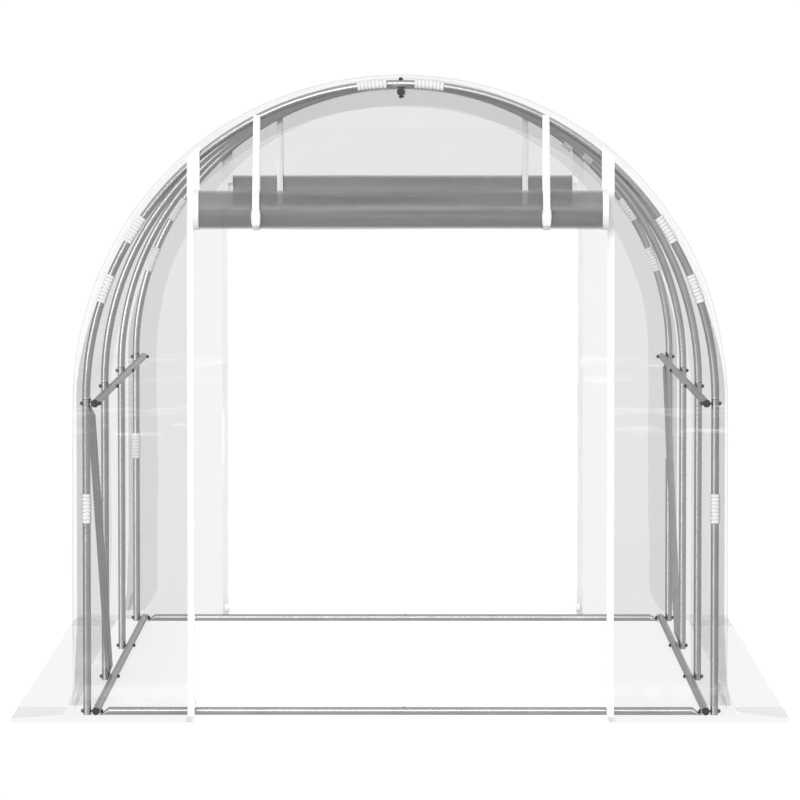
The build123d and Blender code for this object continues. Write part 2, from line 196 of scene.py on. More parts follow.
def surface(rows, round_section=False, capped=False):
    """Points and faces of a surface through equal rows of points."""
    width = len(rows[0])
    points = [tuple(point) for row in rows for point in row]
    faces = []
    for i in range(len(rows) - 1):
        for j in range(width if round_section else width - 1):
            k = (j + 1) % width
            faces.append((i * width + j, i * width + k, (i + 1) * width + k, (i + 1) * width + j))
    if capped:
        faces.append(tuple(range(width - 1, -1, -1)))
        faces.append(tuple(range(len(points) - width, len(points))))
    return points, faces


scene = bpy.context.scene


def make_piece(name, surfaces, material, corner=None):
    """One piece of the tunnel from several surfaces, riding on the frame."""
    points, faces = [], []
    for new_points, new_faces in surfaces:
        start = len(points)
        points += new_points
        faces += [tuple(start + i for i in face) for face in new_faces]
    mesh = bpy.data.meshes.new(name)
    mesh.from_pydata(points, [], faces)
    joined = bmesh.new()
    joined.from_mesh(mesh)
    bmesh.ops.remove_doubles(joined, verts=joined.verts, dist=0.00002)
    bmesh.ops.dissolve_degenerate(joined, edges=joined.edges, dist=0.00002)
    bmesh.ops.recalc_face_normals(joined, faces=joined.faces)
    joined.to_mesh(mesh)
    joined.free()
    mesh.materials.append(material)
    mesh.shade_smooth()
    if corner:
        mesh.set_sharp_from_angle(angle=radians(corner))
    piece = bpy.data.objects.new(name, mesh)
    scene.collection.objects.link(piece)
    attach(piece, "root")
    return piece


white_plastic = moulded("white_moulded_polypropylene", 25, ("#DADADA", "#EAEAEA"), 0.1, 0.0005, {
    "Roughness": 0.38, "IOR": 1.49,
})

clips_low, clips_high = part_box("front_cover_clips")
arch_low, arch_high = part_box("front_hoop_arch")
tube_radius = (arch_high.y - arch_low.y) / 2
arch_radius = arch_high.x - tube_radius
spring_height = arch_high.z - tube_radius - arch_radius
clip_outer = (clips_high.y - clips_low.y) / 2
clip_inner = tube_radius + 0.0003
clip_length = 0.094
clip_ribs = 8
rib_height = 0.0026
clip_mouth = radians(64)
squareness = 3.2
end_ease, lip_ease = 0.0012, 0.0008
leg_clip_height = clips_low.z + clip_length / 2
crown_clip = 0.09  # from the crown to the middle of the topmost clip
clip_rises = (20.5, 32.5, 90 - degrees(asin(crown_clip / arch_radius)))
ends = (("front", -1), ("rear", 1))
hands = (("left", -1), ("right", 1))


def clip_surface(along, frame_at):
    """A ribbed C, carried along the tube from one end to the other."""
    rows = []
    steps = clip_ribs * 6
    for i in range(steps + 1):
        share = i / steps
        crest = max(0.0, sin(pi * ((share * clip_ribs) % 1.0))) ** 0.5
        back = clip_outer - rib_height * (1 - crest) - (end_ease if i in (0, steps) else 0.0)
        centre, outward, across = frame_at(along(share))
        row = []
        turns = 18
        for j in range(turns + 1):
            angle = -pi + clip_mouth / 2 + (2 * pi - clip_mouth) * j / turns
            edge = lip_ease if j in (0, turns) else 0.0
            bulge = abs(cos(angle)) ** squareness + abs(sin(angle)) ** squareness
            radius = (back - edge) / bulge ** (1 / squareness)
            row.append(centre + radius * (cos(angle) * outward + sin(angle) * across))
        for j in range(turns, -1, -1):
            angle = -pi + clip_mouth / 2 + (2 * pi - clip_mouth) * j / turns
            row.append(centre + clip_inner * (cos(angle) * outward + sin(angle) * across))
        rows.append(row)
    return surface(rows, round_section=True, capped=True)


def arch_frame(y):
    """Centre of the tube, and its outward and endward directions, at an angle up the arch."""

    def at(angle):
        outward = Vector((cos(angle), 0, sin(angle)))
        return Vector((0, y, spring_height)) + arch_radius * outward, outward, Vector((0, 1, 0))

    return at


def leg_frame(side, y):
    """The same for a leg, at a height."""

    def at(height):
        return Vector((side * arch_radius, y, height)), Vector((side, 0, 0)), Vector((0, 1, 0))

    return at


def hoop_y(hoop):
    """How far along the tunnel a hoop's centre line is."""
    return sum(corner.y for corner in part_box(hoop + "_hoop_arch")) / 2


def up_leg(share):
    """The height at a share of the way along a leg's clip."""
    return leg_clip_height + (share - 0.5) * clip_length


half_clip = clip_length / 2 / arch_radius
for end in ("front", "rear"):
    clips = []
    for side in (-1, 1):
        clips.append(clip_surface(up_leg, leg_frame(side, hoop_y(end))))
        for rise in clip_rises:
            middle = radians(rise) if side > 0 else pi - radians(rise)
            clips.append(clip_surface(
                lambda share: middle + (2 * share - 1) * half_clip, arch_frame(hoop_y(end))
            ))
    clip_piece = make_piece(end + "_ribbed_clips", clips, white_plastic, corner=40)
    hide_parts(end + "_cover_clips")

# ---- Cover: one sheet of clear film over the hoops and out on to the ground ----
# Blown polyethylene film 0.15 mm thick, drawn over the hoops, down both sides and 190 mm out
# along the ground, where soil or stones hold it. It is clear with a smoky cast, each layer
# taking about a seventh of the light, and faint ripples catch the light.
clear_film, tree, place = new_material("clear_blown_polyethylene")
# soft ripples 150 mm across and finer, and creases 320 mm apart from lying in its bag
ripple = add(tree, "TexNoise", {"Vector": place, "Scale": 1000 / 150, "Detail": 3.0})
crumple = add(
    tree, "TexVoronoi", {"Vector": place, "Scale": 1000 / 320}, feature="DISTANCE_TO_EDGE",
)
crumple_line = add(tree, "MapRange", {
    "Value": crumple.outputs["Distance"], "From Max": 0.03, "To Min": 1.0, "To Max": 0.0,
})
film_height = add(tree, "Math", {0: crumple_line, 1: 0.05, 2: ripple}, operation="MULTIPLY_ADD")
film_tone = add(tree, "ValToRGB", {"Fac": ripple})
set_stops(film_tone, (0.3, "#3B3B3B"), (0.75, "#515151"))
# it was packed folded level at these heights, and painted glints lie along the folds in places
above_ground = add(tree, "SeparateXYZ", {"Vector": place})
wander = add(
    tree, "Math", {0: ripple, 1: 0.09, 2: above_ground.outputs["Z"]}, operation="MULTIPLY_ADD",
)
# patches along each fold where the painted glints show
glint_patch_place = add(tree, "Mapping", {"Vector": place, "Scale": (5, 5, 1000 / 6)})
glint_patches = add(tree, "TexNoise", {"Vector": glint_patch_place, "Scale": 1.0, "Detail": 4.0, "Roughness": 0.65})
glint_patch_mask = add(tree, "MapRange", {"Value": glint_patches, "From Min": 0.47, "From Max": 0.68})
fold_glint_lines = 0.0
for fold_height, fold_reach in ((1.012, 0.016), (0.945, 0.010)):
    from_fold = add(tree, "Math", {0: wander, 1: fold_height, 2: fold_reach}, operation="COMPARE")
    fold_glint_lines = add(tree, "Math", {0: from_fold, 1: fold_glint_lines}, operation="ADD")
fold_glint_share = add(tree, "Math", {0: fold_glint_lines, 1: glint_patch_mask}, operation="MULTIPLY")
film_colour = add(
    tree, "Mix", {"Factor": fold_glint_share, 6: film_tone, 7: linear("#F4F4F4")}, data_type="RGBA",
)
# the part that lies on the ground is scuffed dull
film_gloss = add(tree, "MapRange", {
    "Value": above_ground.outputs["Z"], "From Min": 0.004, "From Max": 0.012, "To Min": 0.55,
    "To Max": 0.14,
})
film_skin = add(tree, "Bump", {"Height": film_height, "Strength": 0.5, "Distance": 0.012})
finish_material(tree, "BsdfPrincipled", {
    "Base Color": film_colour.outputs[2], "Roughness": film_gloss, "IOR": 1.51, "Alpha": 0.15,
    "Normal": film_skin,
})

wall_low, wall_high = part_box("right_wall_film")
roof_low, roof_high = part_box("roof_film")
skirt_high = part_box("right_skirt")[1]
wall_x = (wall_low.x + wall_high.x) / 2
crown_z = roof_high.z - (wall_high.x - wall_low.x) / 2
eave_z = roof_low.z
gable_face = roof_high.y
flap_x, flap_y = skirt_high.x, skirt_high.y
on_ground = 0.0004
end_gap = 0.0015  # from the cover's cut end to the gable film
rim_out = 0.095  # how far the left skirt's ends run past the gables
film_off = 0.0008  # from the gable's face in to the film's middle
film_slack = 0.0048  # how far the cover's middle stands off the frame, about
# how far the film has swung out from the wall, at each height above the ground
foot_curve = [
    (0.000, 0.125), (0.002, 0.100), (0.006, 0.078), (0.012, 0.058), (0.018, 0.040), (0.025, 0.023),
    (0.032, 0.009), (0.039, on_ground),
]
foot_reach, foot_top = foot_curve[-1][0], foot_curve[0][1]


def smooth(share):
    """A ramp from 0 to 1 with soft ends."""
    share = min(1.0, max(0.0, share))
    return share * share * (3 - 2 * share)


def sway(x, y, z, size, height):
    """A smooth, repeatable waver of the film, about nothing on average."""
    return height * noise.noise(Vector((x, y, z)) / size)


def arch_height(x, reach=wall_x):
    """How high the arch of that half-width is above the ground, x from the tunnel's middle."""
    return eave_z + (crown_z - eave_z) * sqrt(max(0.0, reach**2 - x**2)) / wall_x


def fullness(x, z):
    """How far the roof film stands out over the hoops' shoulders and crown."""
    shoulder = smooth(1 - abs(z - eave_z - 0.2) / 0.25)
    return 0.008 * smooth((z - eave_z - 0.45) / 0.4) - 0.0035 * (x > 0.9) * shoulder


def ground_lift(x, y):
    """How far film that lies on the ground stands off it."""
    return on_ground + 0.0009 * abs(sway(x, y, 0, 0.13, 1.0))


def film_piece(name, surfaces):
    """A piece of clear film, which throws no shade on the pieces behind it or on the ground."""
    piece = make_piece(name, surfaces, clear_film)
    piece.visible_shadow = piece.visible_diffuse = piece.visible_glossy = False
    return piece


def cover_line():
    """The cover's section from the crown down the right side and out to the skirt's edge."""
    line = []
    steps = 66
    for i in range(steps + 1):
        angle = pi / 2 * (1 - i / steps)
        line.append((wall_x * cos(angle), eave_z + (crown_z - eave_z) * sin(angle)))
    steps = 34
    line += [(wall_x, eave_z - (eave_z - foot_top) * i / steps) for i in range(1, steps)]
    line += [(wall_x + out, height) for out, height in foot_curve]
    steps = 8
    start = wall_x + foot_reach
    line += [(start + (flap_x - start) * i / steps, on_ground) for i in range(1, steps + 1)]
    return line


half_line = cover_line()
full_line = [(-x, z) for x, z in reversed(half_line)] + half_line[1:]
cover_rows = []
bays = 90
for index, (x, z) in enumerate(full_line):
    beyond = max(0.0, abs(x) - wall_x - foot_reach) / (flap_x - wall_x - foot_reach)
    foot = max(0.0, foot_top - z) / foot_top
    if x > 0:
        # the right skirt's cut end curves away from the corner, the left one's is straight
        reach = gable_face - end_gap - 0.13 * foot**3 * (beyond == 0) - 0.13 * (beyond > 0)
        reach += 0.19 * beyond**0.6
    else:
        reach = gable_face - end_gap - 0.02 * foot**2 + rim_out * beyond
    slack = min(1.0, max(0.0, (crown_z - 0.02 - z) / 0.5)) if z > 0.1 else z / 0.1
    row = []
    for i in range(bays + 1):
        y = reach * (2 * i / bays - 1)
        loose = film_slack + sway(x, y * 0.6, z * 0.35, 0.28, 0.0045)
        loose += sway(x * 2, y, z, 0.11, 0.0016)
        out = slack * loose + fullness(x, z)
        if z > eave_z:
            away = Vector((x / wall_x, 0, (z - eave_z) / (crown_z - eave_z))).normalized()
        else:
            away = Vector((1 if x > 0 else -1, 0, 0))
        height = z
        if beyond > 0:
            height = ground_lift(x, y)
            out = beyond * (0.003 + (x < 0) * 0.005 + sway(x, y, 0, 0.25, 0.006))
        row.append(Vector((x, y, height)) + out * away)
    # its cut ends curl inwards
    curl = 0.0045 * smooth((z - foot_top) / 0.1) * away
    row = [row[0] - curl] + row + [row[-1] - curl]
    cover_rows.append(row)
cover = film_piece("cover_film", [surface(cover_rows)])
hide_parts("roof_film", "left_wall_film", "right_wall_film", "left_skirt", "right_skirt")

# ---- Hems where the cover turns in over the end hoops ----
# The cover's end is folded in over each end hoop and welded to the gable film, in a wavy band
# 105 mm wide on the walls and 70 mm over the crown. Its outer 30 mm, or 15 mm over the roof, is
# folded double. The gable film's own rim turns back round the hoop and is welded underneath.
hem_inner, hem_behind, hem_wave = 0.914, 0.0007, 0.007
fold_inner, fold_behind = 0.9885, 0.0013
hoop_front = hoop_y("rear") + tube_radius
hoop_rest, cap_rest = 0.0021, 0.0053  # from the hoop's front to the film over hoop and caps
cap_spots = []
for name in ("left_purlin", "right_purlin", "ridge_purlin"):
    low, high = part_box(name)
    cap_spots.append(((low.x + high.x) / 2, (low.z + high.z) / 2))


def from_axis(x, z):
    """How far out a point of the gable is, as the half-width of the arch through it."""
    if z < eave_z:
        return abs(x)
    return hypot(x, (z - eave_z) * wall_x / (crown_z - eave_z))


def gable_plane(x, z):
    """How far along the tunnel the gable film is: drawn in against the hoop's tube."""
    out = from_axis(x, z)
    drawn_in = smooth((out - 0.72) / 0.246) * smooth((wall_x + 0.01 - out) / 0.019)
    drawn_in *= smooth((z - foot_top) / 0.1)
    y = gable_face - film_off - (gable_face - film_off - hoop_front - hoop_rest) * drawn_in
    for cap_x, cap_z in cap_spots:
        near = smooth(1.9 - hypot(x - cap_x, z - cap_z) / 0.016)
        y = max(y, y + (hoop_front + cap_rest - y) * near)
    return y


def flat_reach(z):
    """How far out the gable film lies flat, before it turns back round the hoop."""
    return wall_x - 0.007 * smooth((z - foot_top) / 0.2) - 0.0162 * smooth((z - eave_z) / 0.35)


arch_shrink = (crown_z - eave_z) / wall_x


def gable_point(x, z, across):
    """The gable's point at that share of the outline's half-width."""
    return x * across, eave_z + (z - eave_z) * across * arch_shrink if z > eave_z else z


def foot_flare(z):
    """How far the gable film has swung out where it meets the ground."""
    return foot_reach * max(0.0, (foot_top - z) / foot_top) ** 2


def foot_to_foot():
    """The gable's outline from one foot over the crown to the other, as shares."""
    line = [(1, height) for height in (0.035, 0.045, 0.06, 0.08, 0.105, 0.135)]
    line += [(1, 0.135 + (eave_z - 0.135) * i / 40) for i in range(1, 41)]
    line += [(cos(pi * i / 180), eave_z + sin(pi * i / 180)) for i in range(1, 180)]
    return line + [(-1, height) for x, height in reversed(line[:46])]


def hem_band(end, inner, behind, wavy):
    """A band inside the gable's outline, from foot to crown to foot."""
    rows = []
    for x, z in foot_to_foot():
        swing = max(0.0, (0.13 - z) / 0.13) ** 1.6
        waver = sway(x * 0.7, end, z * 0.8, 0.33, wavy) + sway(x, end * 2, z, 0.12, wavy / 3)
        waver += 2.5 * wavy * smooth((z - eave_z - 0.5) / 0.35)
        near = inner + waver + (0.085 * swing if wavy else 0.03 * swing)
        far = max(near + 0.001, flat_reach(z) - 0.0005 + 0.022 * swing)
        row = []
        for i in range(13):
            across = near + (far - near) * i / 12
            point = gable_point(x, z, across)
            y = end * (gable_plane(*point) - behind + foot_flare(z))
            row.append((point[0], y, point[1]))
        rows.append(row)
    return surface(rows)


def turned_back(end):
    """The gable film's rim, turned back round the hoop and welded under the cover."""
    rows = []
    for x, z in foot_to_foot():
        reach = flat_reach(z)
        weld = wall_x - 0.0003 + max(0.0, fullness(x, z))
        back = min(0.22, 16 * (weld - reach)) * smooth((z - foot_top) / 0.2)
        start = gable_plane(*gable_point(x, z, reach)) + foot_flare(z)
        row = []
        for i in range(9):
            share = i / 8
            across = reach + (weld - reach) * share**1.2
            point = gable_point(x, z, across)
            row.append((point[0], end * (start - back * share), point[1]))
        rows.append(row)
    return surface(rows)


hems = []
for end, sign in ends:
    hems += [
        film_piece(end + "_hem", [hem_band(sign, hem_inner, hem_behind, hem_wave)]),
        film_piece(end + "_hem_fold", [hem_band(sign, fold_inner, fold_behind, 0.0)]),
        film_piece(end + "_film_turned_back", [turned_back(sign)]),
    ]

# ---- Gable panels beside the doorways, with the film that lies in front of them ----
# The same clear film, cut to the arch and welded to the cover. Each panel runs down from the
# arch to the ground, turns outwards and lies 190 mm out, with a flap that is tucked round the
# corner over the side skirt. A sharp fold from its bag crosses it just below the eaves.
door_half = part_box("front_right_gable_film")[0].x
hem_edge = 0.955  # where loose film comes to rest on the hem
panel_fold_z = 0.965
flap_back = gable_face - 0.223


def gable_line(top, arch_steps, wall_steps, outer):
    """Heights, and how far out, down the gable film from the arch and out along the ground."""
    line = [(top - (top - eave_z) * i / arch_steps, 0.0) for i in range(arch_steps)]
    line += [(eave_z - (eave_z - foot_top) * i / wall_steps, 0.0) for i in range(wall_steps)]
    line += [(height, out) for out, height in foot_curve]
    line += [(on_ground, foot_reach + (outer - foot_reach) * i / 6) for i in range(1, 7)]
    return line


def panel_surface(sign, side):
    """One panel from the arch to the outer edge of its skirt, and its tucked corner flap."""
    rows = []
    top = arch_height(door_half, flat_reach(crown_z))
    for z, out in gable_line(top, 90, 50, flap_y - gable_face):
        far = flat_reach(z) + min(out, foot_reach)
        if z > eave_z:
            up = (z - eave_z) * wall_x / (crown_z - eave_z)
            far = max(door_half + 0.0001, sqrt(max(0.0, far**2 - up**2)))
        row = []
        for i in range(31):
            x = door_half + (far - door_half) * (1 - (1 - i / 30) ** 1.7)
            calm = smooth((x - door_half) / 0.05) * smooth((hem_edge - from_axis(x, z)) / 0.08)
            fold = max(0.0, 1 - abs(z - panel_fold_z - 0.02 * (x - door_half)) / 0.012) * 0.0025
            push = calm * (
                sway(side * x, sign * 3, z * 0.6, 0.25, 0.006)
                + sway(side * x * 2, sign * 3, z, 0.09, 0.0018)
                + fold
            )
            push *= smooth(z / 0.1)
            y = sign * (gable_plane(x, z) + out + push)
            height = z if out < foot_reach else ground_lift(side * x, y)
            row.append((side * x, y, height))
        rows.append(row)
    flap = []
    start = wall_x + foot_reach
    depths = [foot_reach + (flap_y - gable_face - foot_reach) * i / 6 for i in range(6, -1, -1)]
    depths += [foot_reach - (gable_face + foot_reach - flap_back) * i / 9 for i in range(1, 10)]
    for i in range(9):
        x = start + (flap_x - start) * i / 8
        line = []
        for depth in depths:
            y = sign * (gable_face - film_off + depth)
            over = 0.0011 * (i > 0) * (depth < foot_reach + 0.08)
            x_out = x + i / 8 * (0.002 + (side < 0) * 0.004)
            line.append((side * x_out, y, ground_lift(side * x, y) + over))
        flap.append(line)
    return [surface(rows), surface(flap)]


panels = {}
for end, sign in ends:
    for hand, side in hands:
        panel = film_piece(end + "_" + hand + "_gable_panel", panel_surface(sign, side))
        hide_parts(end + "_" + hand + "_gable_film", end + "_skirt")
        panels[end, hand] = panel

# ---- Tucks at the feet of the four corners ----
# Where wall, gable and ground film meet, the spare film stands up in a pinched tuck about
# 80 mm high, pressed flat against the corner and leaning outwards at its foot.


def tuck_surface(sign, side):
    """A narrow leaf of doubled film that leans against the corner."""
    layers = []
    for layer, gap in enumerate((0.0, 0.002)):
        rows = []
        for i in range(11):
            share = i / 10
            z = 0.107 - 0.074 * share
            lean = 0.021 * share**1.3
            width = 0.003 + 0.015 * sin(pi * share**0.7) ** 0.8
            row = []
            for j in range(6):
                x = wall_x - 0.024 + lean + width * (j / 5 - 0.5) + 0.002 * layer
                y = gable_face + 0.012 + gap + 0.03 * share**2 + 0.0015 * sin(j * 2.1 + layer)
                row.append((side * x, sign * y, z - 0.012 * (j / 5) * share))
            rows.append(row)
        layers.append(surface(rows))
    return layers


for end, sign in ends:
    for hand, side in hands:
        film_piece(end + "_" + hand + "_tuck", tuck_surface(sign, side))

# ---- Door zips: white tapes up both sides of each doorway ----
# Spiral zip with 20 mm tapes of white knitted polyester, welded along the film. The wall half
# runs from the arch down and out along the ground film's edge. The door half shows above the
# roll, and the rest of it is wound into the roll's ends. The slider waits at the foot.
white_tape, tree, place = new_material("white_knitted_tape")
# knit ribs run along the tape every 0.8 mm; these are far coarser, one each 19 mm
ribs = add(
    tree, "TexWave", {"Vector": place, "Scale": 1000 / 3 / 20, "Distortion": 0.6, "Detail": 1.0},
    bands_direction="X",
)
tape_soil = add(tree, "TexNoise", {"Vector": place, "Scale": 1000 / 60, "Detail": 4.0})
tape_tone = add(tree, "ValToRGB", {"Fac": tape_soil})
set_stops(tape_tone, (0, "#F1F1F1"), (1, "#FDFDFD"))
tape_skin = add(tree, "Bump", {"Height": ribs.outputs["Fac"], "Strength": 0.35, "Distance": 0.0006})
finish_material(tree, "BsdfPrincipled", {
    "Base Color": tape_tone, "Roughness": 0.75, "Sheen Weight": 0.2, "Normal": tape_skin,
})

zip_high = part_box("front_door_zips")[1]
roll_low, roll_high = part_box("front_door_roll")
tape_width = zip_high.x - door_half
tape_thick = 0.0009
coil_pitch = 0.004


def block(low, high):
    """A small brick of plastic, with its edges eased."""
    ease = 0.15 * min(abs(b - a) for a, b in zip(low, high))
    rings = []
    for z, by in ((low[2], ease), (low[2] + ease, 0), (high[2] - ease, 0), (high[2], ease)):
        x0, x1 = sorted((low[0], high[0]))
        y0, y1 = sorted((low[1], high[1]))
        x0, x1, y0, y1 = x0 + by, x1 - by, y0 + by, y1 - by
        rings.append([(x0, y0, z), (x1, y0, z), (x1, y1, z), (x0, y1, z)])
    return surface(rings, True, True)


def along_film(line, sign, side, section):
    """A strip carried down the gable film; its section gives places across and heights off."""
    rows = []
    for i, (z, out) in enumerate(line):
        before, after = line[max(0, i - 1)], line[min(len(line) - 1, i + 1)]
        run = hypot(after[0] - before[0], after[1] - before[1])
        up, outward = (after[1] - before[1]) / run, (before[0] - after[0]) / run
        row = []
        for x, off in section(i):
            y = gable_plane(x, z) + out + off * outward
            # the top is cut along the arch
            height = z + off * up if i else arch_height(x) - 0.005
            row.append((side * x, sign * y, height))
        rows.append(row)
    return surface(rows, True, True)


def tape_section(near, far):
    """A tape's bound edges and flat middle."""

    def section(i):
        lift = 0.0009 if i else 0.0006
        return [
            (near + (far - near) * share, lift + proud * tape_thick)
            for share, proud in ((0, 0), (0, 1), (0.12, 1.25), (0.2, 0.8), (0.85, 0.8),
                                 (0.93, 1.2), (1, 1), (1, 0))
        ]

    return section


def coil_section(i):
    """The zip's spiral, high and low by turns."""
    height = 0.0016 if i % 2 else 0.0028
    return [
        (door_half - 0.0024, 0.0012), (door_half - 0.0018, height), (door_half + 0.0018, height),
        (door_half + 0.0024, 0.0012),
    ]


def slider_surfaces(sign, side):
    """The slider's box near the foot of the tape, its bridge and its pull."""
    x = door_half + 0.002
    y = gable_face + 0.011
    foot = 0.036

    def brick(x0, x1, y0, y1, z0, z1):
        return block(
            (side * (x + x0), sign * (y + y0), foot + z0),
            (side * (x + x1), sign * (y + y1), foot + z1),
        )

    made = [brick(-0.009, 0.009, 0.0, 0.0046, 0.0, 0.022)]
    made.append(brick(-0.007, 0.007, 0.0046, 0.0060, 0.002, 0.019))
    made.append(brick(-0.0018, 0.0018, 0.0060, 0.0092, 0.005, 0.017))
    pull = []
    for i in range(9):
        share = i / 8
        half = 0.003 + 0.0035 * sin(pi * share) ** 0.5
        z = 0.014 - 0.026 * share
        face = y + 0.0072 + 0.012 * share
        pull.append([
            (side * (x + across * half), sign * (face + deep * 0.0016), foot + z)
            for across, deep in ((-1, 0), (1, 0), (1, 1), (-1, 1))
        ])
    made.append(surface(pull, True, True))
    return made


# the top of the panels at the doorway's edge
panel_top = arch_height(door_half)
height = panel_top + foot_reach + flap_y - gable_face
for i in range(50):
    rise = (i + 0.5) / 50 * (panel_top - eave_z) / (crown_z - eave_z)

tape_reach = flap_y - gable_face - 0.003
drop_line = gable_line(arch_height(zip_high.x) - 0.004, 40, 60, tape_reach)
coil_line = []
for a, b in zip(drop_line, drop_line[1:]):
    steps = max(1, round(hypot(b[0] - a[0], b[1] - a[1]) / (coil_pitch / 2)))
    coil_line += [
        (a[0] + (b[0] - a[0]) * i / steps, a[1] + (b[1] - a[1]) * i / steps)
        for i in range(steps)
    ]
tape_top, tape_foot = panel_top - 0.006, roll_high.z - 0.03
door_tape = [(tape_top + (tape_foot - tape_top) * i / 12, 0.0) for i in range(13)]
for end, sign in ends:
    zip_parts = []
    for side in (-1, 1):
        zip_parts.append(along_film(drop_line, sign, side, tape_section(door_half, zip_high.x)))
        zip_parts.append(
            along_film(door_tape, sign, side, tape_section(door_half - tape_width, door_half))
        )
        zip_parts.append(along_film(coil_line, sign, side, coil_section))
        zip_parts += slider_surfaces(sign, side)
    zips = make_piece(end + "_zip_tapes", zip_parts, white_tape, corner=50)
    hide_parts(end + "_door_zips")
    for hand in ("left", "right"):
        panel = panels[end, hand]

# ---- Doors, rolled up outside ----
# Each door is the same film, 1.3 m wide and 1.64 m long, wound outwards and upwards into a roll
# about 124 mm across. So many creased layers turn smoky grey, with fine streaks along the
# roll, and its two ends show the wound zip tape as white rings.
roll_slack, roll_sag, roll_stand = 0.003, 0.001, 0.002  # fuller, lower and further out
door_hem = 0.04
roll_axis_z = (roll_low.z + roll_high.z) / 2 - roll_sag
roll_radius = (roll_high.z - roll_low.z) / 2 + roll_slack
roll_y = abs(roll_low.y + roll_high.y) / 2 + roll_stand
roll_half = roll_high.x
door_length = roll_axis_z + door_hem
roll_core = 0.052
roll_turns = door_length / (2 * pi * (roll_radius + roll_core) / 2)

rolled_film, tree, place = new_material("creased_blown_polyethylene")
# streaks run along the roll, 34 mm apart with finer ones between, and longer than an arm
streak_place = add(tree, "Mapping", {"Vector": place, "Scale": (1.2, 1000 / 34, 1000 / 34)})
streaks = add(tree, "TexNoise", {
    "Vector": streak_place, "Scale": 1.0, "Detail": 6.0, "Roughness": 0.62,
})
rolled_tone = add(tree, "ValToRGB", {"Fac": streaks})
set_stops(rolled_tone, (0.3, "#7A7A7A"), (0.72, "#A5A5A5"))
rolled_gloss = add(tree, "MapRange", {"Value": streaks, "To Min": 0.25, "To Max": 0.42})
rolled_skin = add(tree, "Bump", {"Height": streaks, "Strength": 0.5, "Distance": 0.003})
finish_material(tree, "BsdfPrincipled", {
    "Base Color": rolled_tone, "Roughness": rolled_gloss, "IOR": 1.51, "Alpha": 0.24,
    "Normal": rolled_skin,
})


def spiral(sign, first_x, last_x, columns, swell, creases):
    """Film wound up from its top edge at the back of the roll, over equal columns."""
    steps = int(roll_turns * 40)
    rows = []
    for i in range(steps + 1):
        turn = i / steps * roll_turns
        angle = 2 * pi * turn
        radius = roll_radius - 0.0006 + (roll_core - roll_radius) * turn / roll_turns
        row = []
        for j in range(columns + 1):
            x = first_x + (last_x - first_x) * j / columns
            dent = creases * noise.noise(Vector((x * 2.2, 9 * cos(angle), 9 * sin(angle) + turn)))
            dent -= creases * 0.6
            r = radius + dent + swell
            y = roll_y - r * cos(angle)
            row.append((x, sign * y, roll_axis_z - r * sin(angle)))
        rows.append(row)
    return surface(rows)


for end, sign in ends:
    turns = [spiral(sign, -roll_half, roll_half, 36, 0.0, 0.0022)]
    roll_film = make_piece(end + "_rolled_door", turns, rolled_film)
    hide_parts(end + "_door_roll")
    rings = [
        spiral(sign, side * (roll_half - 0.017), side * (roll_half + 0.001), 2, 0.0005, 0.0004)
        for side in (-1, 1)
    ]
    end_rings = make_piece(end + "_roll_zip_rings", rings, white_tape)

# ---- Tops of the doors, flat over each doorway ----
# The part of each door's film that never rolls up: it is welded under the arch, and runs down
# between the zips to the back of the roll.


def door_top_surface(sign):
    """Film from the arch down to the back of the roll."""
    rows = []
    for i in range(97):
        x = -door_half + 2 * door_half * i / 96
        top = arch_height(x, flat_reach(crown_z))
        row = []
        for j in range(31):
            share = (j / 30) ** 1.4
            z = top + (roll_axis_z - top) * share
            calm = smooth((hem_edge - from_axis(x, z)) / 0.08) * smooth((1 - share) / 0.2)
            push = calm * (sway(x, sign * 5, z, 0.3, 0.005) + sway(x * 2, sign * 5, z, 0.1, 0.0012))
            row.append((x, sign * (gable_plane(x, z) + push + 0.002 * share**3), z))
        rows.append(row)
    return surface(rows)


for end, sign in ends:
    door_top = film_piece(end + "_door_top", [door_top_surface(sign)])
    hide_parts(end + "_upper_door_film")

# ---- Roll straps: loops of webbing that hold each door up ----
# White woven polypropylene webbing, 22 mm wide and 1.6 mm thick, sewn in under the roof film
# and looped down round the roll. Its flat weave shows as fine cross ribs.
white_webbing, tree, place = new_material("white_woven_polypropylene")
# real weft shows a rib every 1.2 mm; these are far coarser, 19 mm along and 25 mm across
weft = add(
    tree, "TexWave", {"Vector": place, "Scale": 1000 / 3 / 20, "Distortion": 1.0, "Detail": 1.0},
    bands_direction="Z",
)
warp = add(
    tree, "TexWave", {"Vector": place, "Scale": 1000 / 4 / 20, "Distortion": 1.0},
    bands_direction="X",
)
weave = add(tree, "Math", {0: weft.outputs["Fac"], 1: warp.outputs["Fac"]}, operation="MULTIPLY")
webbing_tone = add(tree, "ValToRGB", {"Fac": weave})
set_stops(webbing_tone, (0, "#F4F4F4"), (1, "#FEFEFE"))
webbing_skin = add(tree, "Bump", {"Height": weave, "Strength": 0.5, "Distance": 0.0008})
finish_material(tree, "BsdfPrincipled", {
    "Base Color": webbing_tone, "Roughness": 0.7, "Sheen Weight": 0.15, "Normal": webbing_skin,
})

strap_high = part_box("front_roll_straps")[1]
strap_x = strap_high.x - 0.010
nearer = 0.004  # the left front strap is sewn on nearer the middle than the others
strap_places = {"front": (nearer - strap_x, strap_x), "rear": (-strap_x, strap_x)}
strap_half = 0.011
strap_thick = 0.0016
bite = 0.0012  # how far the webbing sinks into the roll
strap_radius = roll_radius - bite + strap_thick / 2
top_radius = 0.0014
top_y = gable_face + 0.0004 + top_radius + strap_thick / 2
top_z = strap_high.z - top_radius - strap_thick / 2


